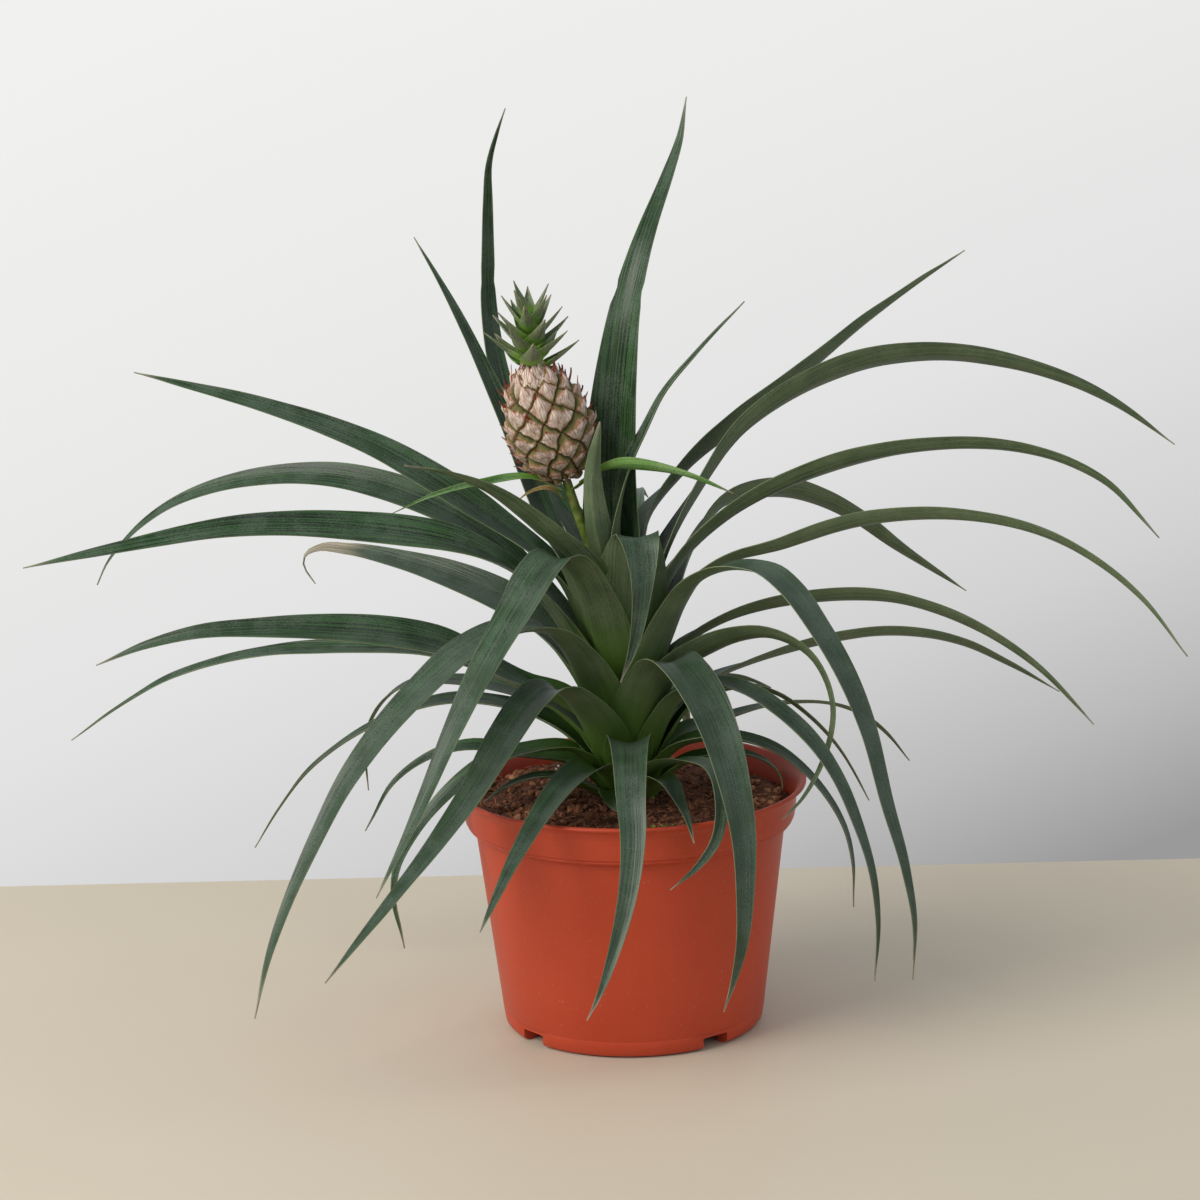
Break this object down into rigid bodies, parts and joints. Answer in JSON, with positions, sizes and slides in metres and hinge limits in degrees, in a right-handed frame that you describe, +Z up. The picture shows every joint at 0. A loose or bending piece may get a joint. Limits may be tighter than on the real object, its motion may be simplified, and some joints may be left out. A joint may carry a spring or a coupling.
{
  "type": "potted pineapple plant",
  "caption": "Young pineapple plant with a small crowned fruit and a rosette of arching strap leaves, growing in a round plastic nursery pot filled with coarse growing medium.",
  "frame": {"origin": "centre of the pot's foot on the surface it stands on, with the plant's spread even about it", "axes": "+Z up along the pot's axis, -Y to the plant's front, +X to the right as seen from the front"},
  "size_m": [0.4966, 0.259, 0.393],
  "materials": {
    "pot_plastic": "satin",
    "growing_medium": "matte",
    "stem": "satin",
    "stalk": "satin",
    "fruit_skin": "satin",
    "crown": "satin",
    "bract": "satin",
    "leaf": "satin"
  },
  "bodies": {
    "root": {"pot": "pot_plastic", "growing_medium": "growing_medium", "stem": "stem", "peduncle": "stalk", "fruit": "fruit_skin", "crown": "crown", "bract_left": "bract", "bract_right": "bract", "bract_small": "bract", "leaf_top_1": "leaf", "leaf_top_2": "leaf", "leaf_top_3": "leaf", "leaf_top_4": "leaf", "leaf_left_1": "leaf", "leaf_left_2": "leaf", "leaf_left_3": "leaf", "leaf_left_4": "leaf", "leaf_left_5": "leaf", "leaf_left_6": "leaf", "leaf_left_7": "leaf", "leaf_left_8": "leaf", "leaf_left_9": "leaf", "leaf_left_10": "leaf", "leaf_left_11": "leaf", "leaf_front_1": "leaf", "leaf_front_2": "leaf", "leaf_front_3": "leaf", "leaf_front_4": "leaf", "leaf_front_5": "leaf", "leaf_front_6": "leaf", "leaf_front_7": "leaf", "leaf_front_8": "leaf", "leaf_front_9": "leaf", "leaf_front_10": "leaf", "leaf_front_11": "leaf", "leaf_front_12": "leaf", "leaf_right_1": "leaf", "leaf_right_2": "leaf", "leaf_right_3": "leaf", "leaf_right_4": "leaf", "leaf_right_5": "leaf", "leaf_right_6": "leaf", "leaf_right_7": "leaf", "leaf_right_8": "leaf", "leaf_right_9": "leaf", "leaf_right_10": "leaf", "leaf_right_11": "leaf", "leaf_right_12": "leaf", "leaf_right_13": "leaf", "leaf_right_14": "leaf", "leaf_right_15": "leaf", "leaf_back_1": "leaf", "leaf_back_2": "leaf", "leaf_back_3": "leaf", "leaf_back_4": "leaf"}
  },
  "joints": []
}
